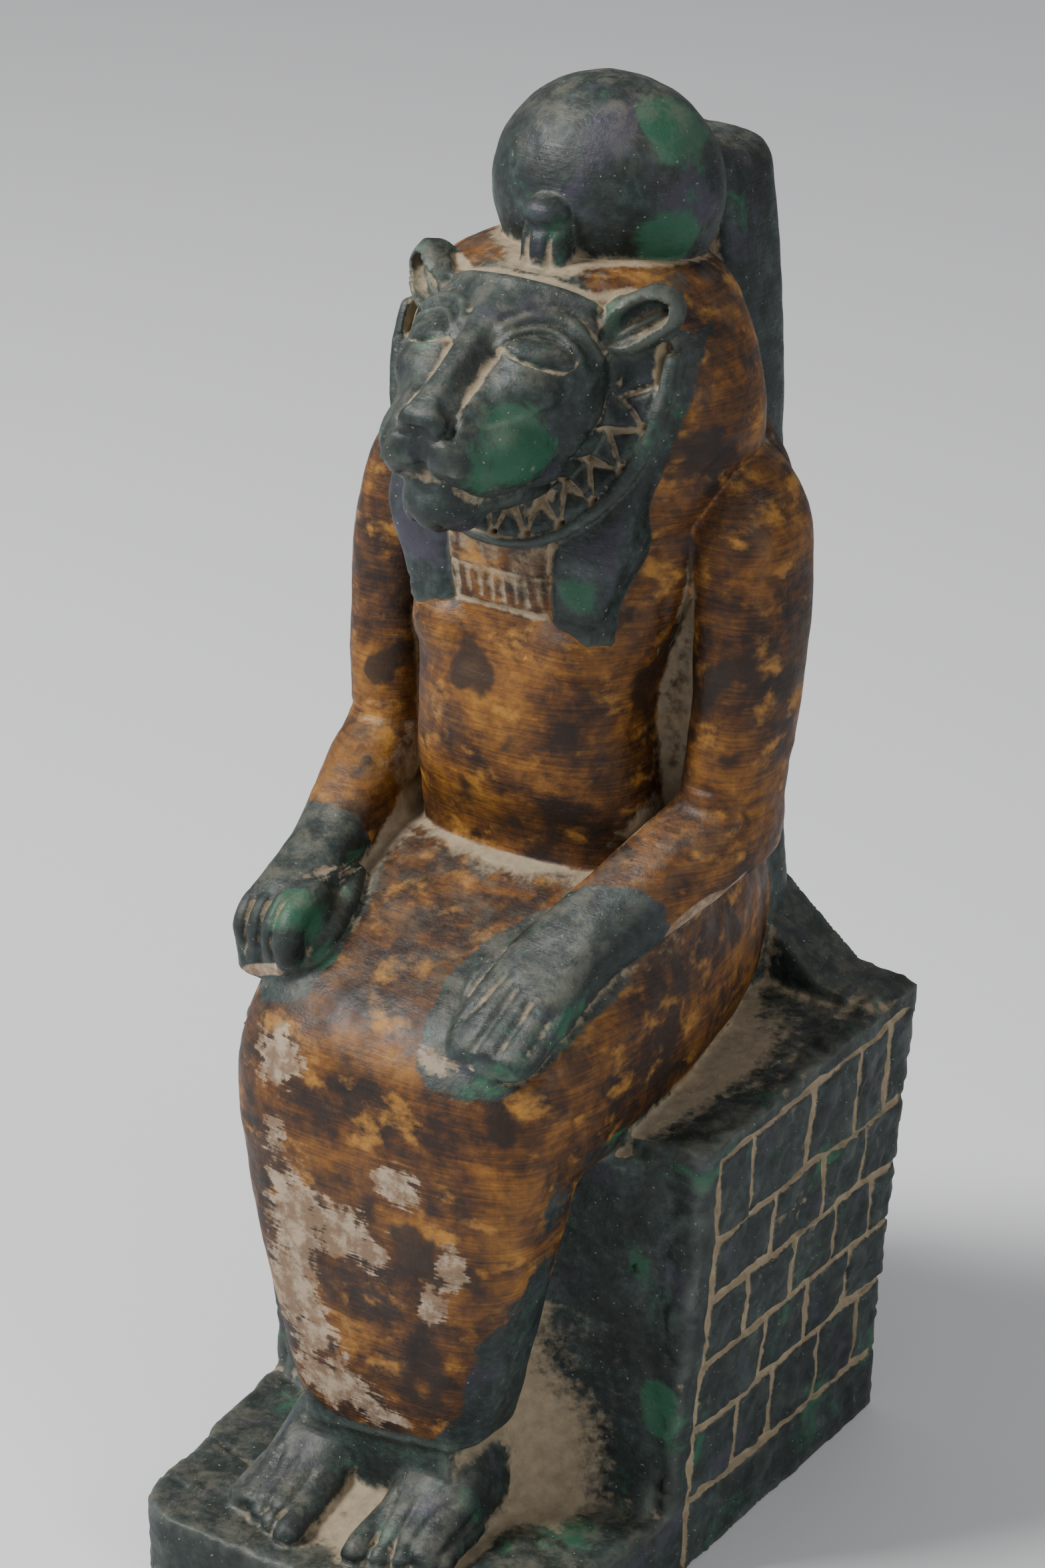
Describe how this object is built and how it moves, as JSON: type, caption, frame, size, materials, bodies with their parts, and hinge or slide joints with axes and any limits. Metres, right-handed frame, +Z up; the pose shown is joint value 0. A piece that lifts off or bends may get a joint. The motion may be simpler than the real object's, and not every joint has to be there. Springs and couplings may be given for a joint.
{
  "type": "seated lioness goddess statue",
  "caption": "Seated lioness-headed goddess with a sun disc, on a block throne with a back pillar, carved in one piece with its plinth.",
  "frame": {"origin": "middle of the plinth's underside", "axes": "+Z up, the figure faces -Y, +X is the figure's own left"},
  "size_m": [0.1142, 0.143, 0.2997],
  "materials": {
    "statue": "polished, worn, dark green and amber with tan dirt in the hollows"
  },
  "bodies": {
    "root": {"statue": "statue"}
  },
  "joints": []
}
